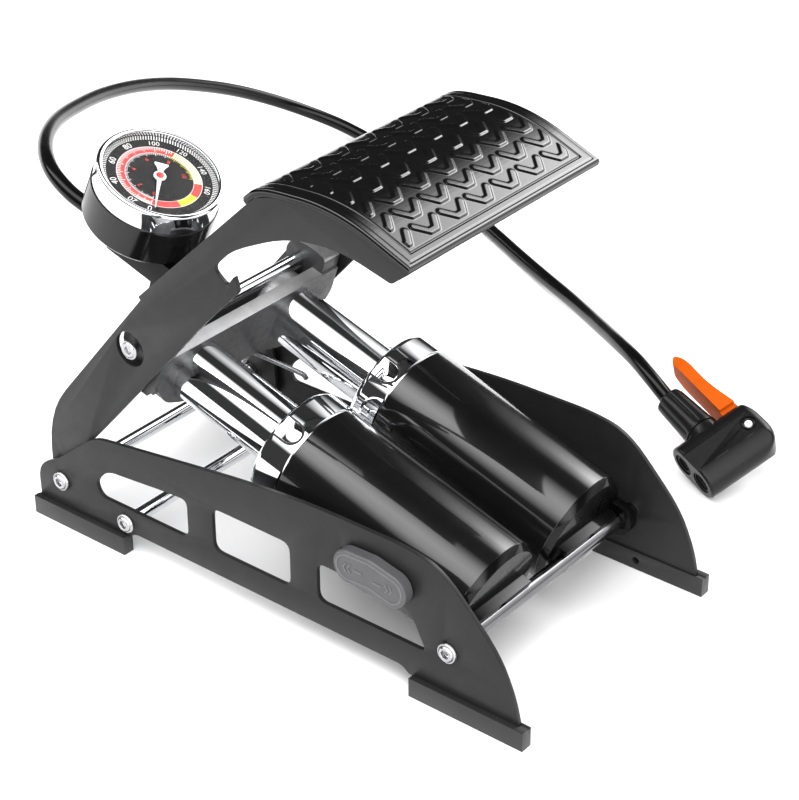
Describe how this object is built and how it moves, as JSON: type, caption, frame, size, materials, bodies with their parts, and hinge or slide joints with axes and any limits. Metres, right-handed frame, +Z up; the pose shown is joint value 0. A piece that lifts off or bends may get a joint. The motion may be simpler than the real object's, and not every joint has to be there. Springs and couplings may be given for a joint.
{
  "type": "foot air pump",
  "caption": "Twin-barrel foot air pump: sprung pedal on a folded steel base drives two chrome pistons, with a dial gauge and an air hose to a lever valve head.",
  "frame": {"origin": "centre of the pump's box on the floor, without the hose and what is on it", "axes": "+X to the right side, +Y to the rear where the gauge and pedal pivot are, +Z up"},
  "size_m": [0.4402, 0.498, 0.2151],
  "materials": {
    "black_steel": "satin black powder coat",
    "black_foot": "satin black",
    "chrome": "polished",
    "zinc_steel": "bright zinc",
    "spring_steel": "drawn wire",
    "grey_plastic": "moulded grey",
    "tread_rubber": "moulded tread",
    "gloss_black_metal": "gloss black",
    "black_plastic": "moulded black",
    "seal_rubber": "soft seal",
    "piston_metal": "turned",
    "cast_alloy": "die cast, satin",
    "brass": "turned",
    "clear_lens": "clear",
    "dial_face": "printed dial",
    "white_pointer": "white",
    "soft_rubber": "moulded",
    "hose_rubber": "smooth hose",
    "head_plastic": "moulded black",
    "orange_plastic": "moulded orange"
  },
  "bodies": {
    "base": {"left_side_plate": "black_steel", "right_side_plate": "black_steel", "front_left_foot": "black_foot", "front_right_foot": "black_foot", "rear_left_foot": "black_foot", "rear_right_foot": "black_foot", "front_rod": "chrome", "rear_pivot_rod": "chrome", "base_cross_rod": "chrome", "frame_screws": "zinc_steel", "pivot_washers": "zinc_steel", "return_spring": "spring_steel", "air_hose": "hose_rubber", "valve_head": "head_plastic", "head_collar": "head_plastic", "lever_pin": "white_pointer", "valve_seals": "seal_rubber", "valve_plunger": "brass"},
    "lock_slider": {"lock_knob": "grey_plastic", "lock_pin": "zinc_steel"},
    "pedal_frame": {"left_arm": "black_steel", "right_arm": "black_steel", "pedal_plate": "black_steel", "tread_pad": "tread_rubber"},
    "barrels": {"left_barrel": "gloss_black_metal", "right_barrel": "gloss_black_metal", "left_end_cap": "gloss_black_metal", "right_end_cap": "gloss_black_metal", "left_collar": "chrome", "right_collar": "chrome", "left_guide_bush": "black_plastic", "right_guide_bush": "black_plastic", "inlet_valves": "seal_rubber"},
    "pistons": {"left_piston_tube": "chrome", "right_piston_tube": "chrome", "left_piston": "piston_metal", "right_piston": "piston_metal", "left_piston_seal": "seal_rubber", "right_piston_seal": "seal_rubber", "outlet_valves": "seal_rubber", "header": "cast_alloy", "upper_rod": "chrome", "rod_end_screws": "zinc_steel", "manifold": "black_plastic", "manifold_screws": "zinc_steel", "gauge_stem": "brass", "gauge_cup": "black_plastic", "gauge_bezel": "chrome", "gauge_lens": "clear_lens", "gauge_dial": "dial_face", "bourdon_tube": "brass", "strain_relief": "soft_rubber"},
    "gauge_pointer": {"gauge_needle": "white_pointer"},
    "valve_lever": {"thumb_lever": "orange_plastic"}
  },
  "joints": [
    {"name": "pedal_hinge", "type": "hinge", "parent": "base", "child": "pedal_frame", "pos_m": [0.0016, 0.1141, 0.0236], "axis": [1, 0, 0], "range_deg": [0, 36], "stiffness_Nm_per_rad": 2.5, "springref_deg": -68.75, "deforming": ["return_spring", "air_hose"]},
    {"name": "barrel_swing", "type": "hinge", "parent": "base", "child": "barrels", "pos_m": [0.0016, -0.1169, 0.0306], "axis": [-1, 0, 0], "range_deg": [0, 10.21]},
    {"name": "piston_slide", "type": "slide", "parent": "barrels", "child": "pistons", "axis": [0, -0.9524, -0.3049], "range_m": [0, 0.05602]},
    {"name": "lock_slide", "type": "slide", "parent": "base", "child": "lock_slider", "axis": [0, 1, 0], "range_m": [0, 0.008]},
    {"name": "gauge_pointer_turn", "type": "hinge", "parent": "pistons", "child": "gauge_pointer", "pos_m": [0.0016, 0.11851, 0.13326], "axis": [0, 0.4027, -0.9153], "range_deg": [0, 270], "stiffness_Nm_per_rad": 0.0005},
    {"name": "valve_lever_swing", "type": "hinge", "parent": "base", "child": "valve_lever", "pos_m": [0.17115, -0.12037, 0.02359], "axis": [0.4146, 0.0868, -0.9058], "range_deg": [0, 90]}
  ],
  "couplings": [
    {"joint": "barrel_swing", "follows": "pedal_hinge", "ratio": 0.27804},
    {"joint": "piston_slide", "follows": "pedal_hinge", "m_per_rad": 0.088845}
  ]
}
